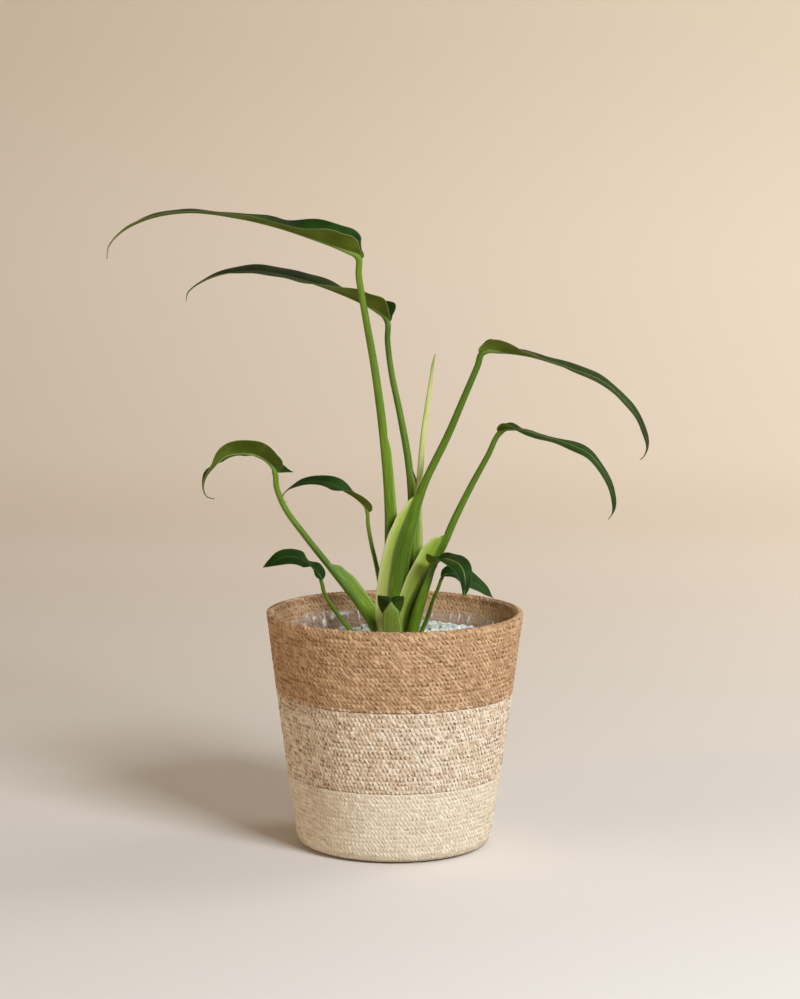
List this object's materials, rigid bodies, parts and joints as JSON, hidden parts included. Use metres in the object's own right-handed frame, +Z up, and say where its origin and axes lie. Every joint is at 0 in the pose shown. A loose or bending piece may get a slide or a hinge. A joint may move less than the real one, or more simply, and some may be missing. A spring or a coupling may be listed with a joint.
{
  "type": "potted climbing aroid with narrow drooping leaves",
  "caption": "Young climbing aroid with long narrow drooping leaves on sheathed stalks, potted in a film-lined basket of stitched rope topped with pale pumice.",
  "frame": {"origin": "centre of the basket's foot, on the surface that it stands on", "axes": "+Z up, -Y towards the front as pictured, +X to the right seen from the front"},
  "size_m": [0.4137, 0.1998, 0.488],
  "materials": {
    "cream_rope": "matt stitched rope, undyed",
    "mixed_rope": "matt stitched rope, tan with pale stitching",
    "tan_rope": "matt stitched rope, tan",
    "clear_film": "thin clear glossy plastic film",
    "soil": "dark damp potting soil",
    "pumice": "dry matt crushed pumice",
    "crown": "matt stem and root skin",
    "spear_green": "satin furled leaf",
    "stalk_green": "satin leaf stalk with paler sheath edges",
    "blade_green": "glossy dark green above, satin olive green below"
  },
  "bodies": {
    "root": {"basket_cream_cup": "cream_rope", "basket_mixed_band": "mixed_rope", "basket_tan_band": "tan_rope", "lining_film": "clear_film", "soil": "soil", "pumice_topping": "pumice", "crown_and_roots": "crown", "spear": "spear_green", "leaf_1_tall_left_stalk": "stalk_green", "leaf_1_tall_left_blade": "blade_green", "leaf_2_second_left_stalk": "stalk_green", "leaf_2_second_left_blade": "blade_green", "leaf_3_tall_right_stalk": "stalk_green", "leaf_3_tall_right_blade": "blade_green", "leaf_4_low_right_stalk": "stalk_green", "leaf_4_low_right_blade": "blade_green", "leaf_5_middle_left_stalk": "stalk_green", "leaf_5_middle_left_blade": "blade_green", "leaf_6_back_left_stalk": "stalk_green", "leaf_6_back_left_blade": "blade_green", "leaf_7_small_left_stalk": "stalk_green", "leaf_7_small_left_blade": "blade_green", "leaf_8_front_right_stalk": "stalk_green", "leaf_8_front_right_blade": "blade_green", "leaf_9_small_right_stalk": "stalk_green", "leaf_9_small_right_blade": "blade_green", "leaf_10_small_front_stalk": "stalk_green", "leaf_10_small_front_blade": "blade_green"}
  },
  "joints": []
}
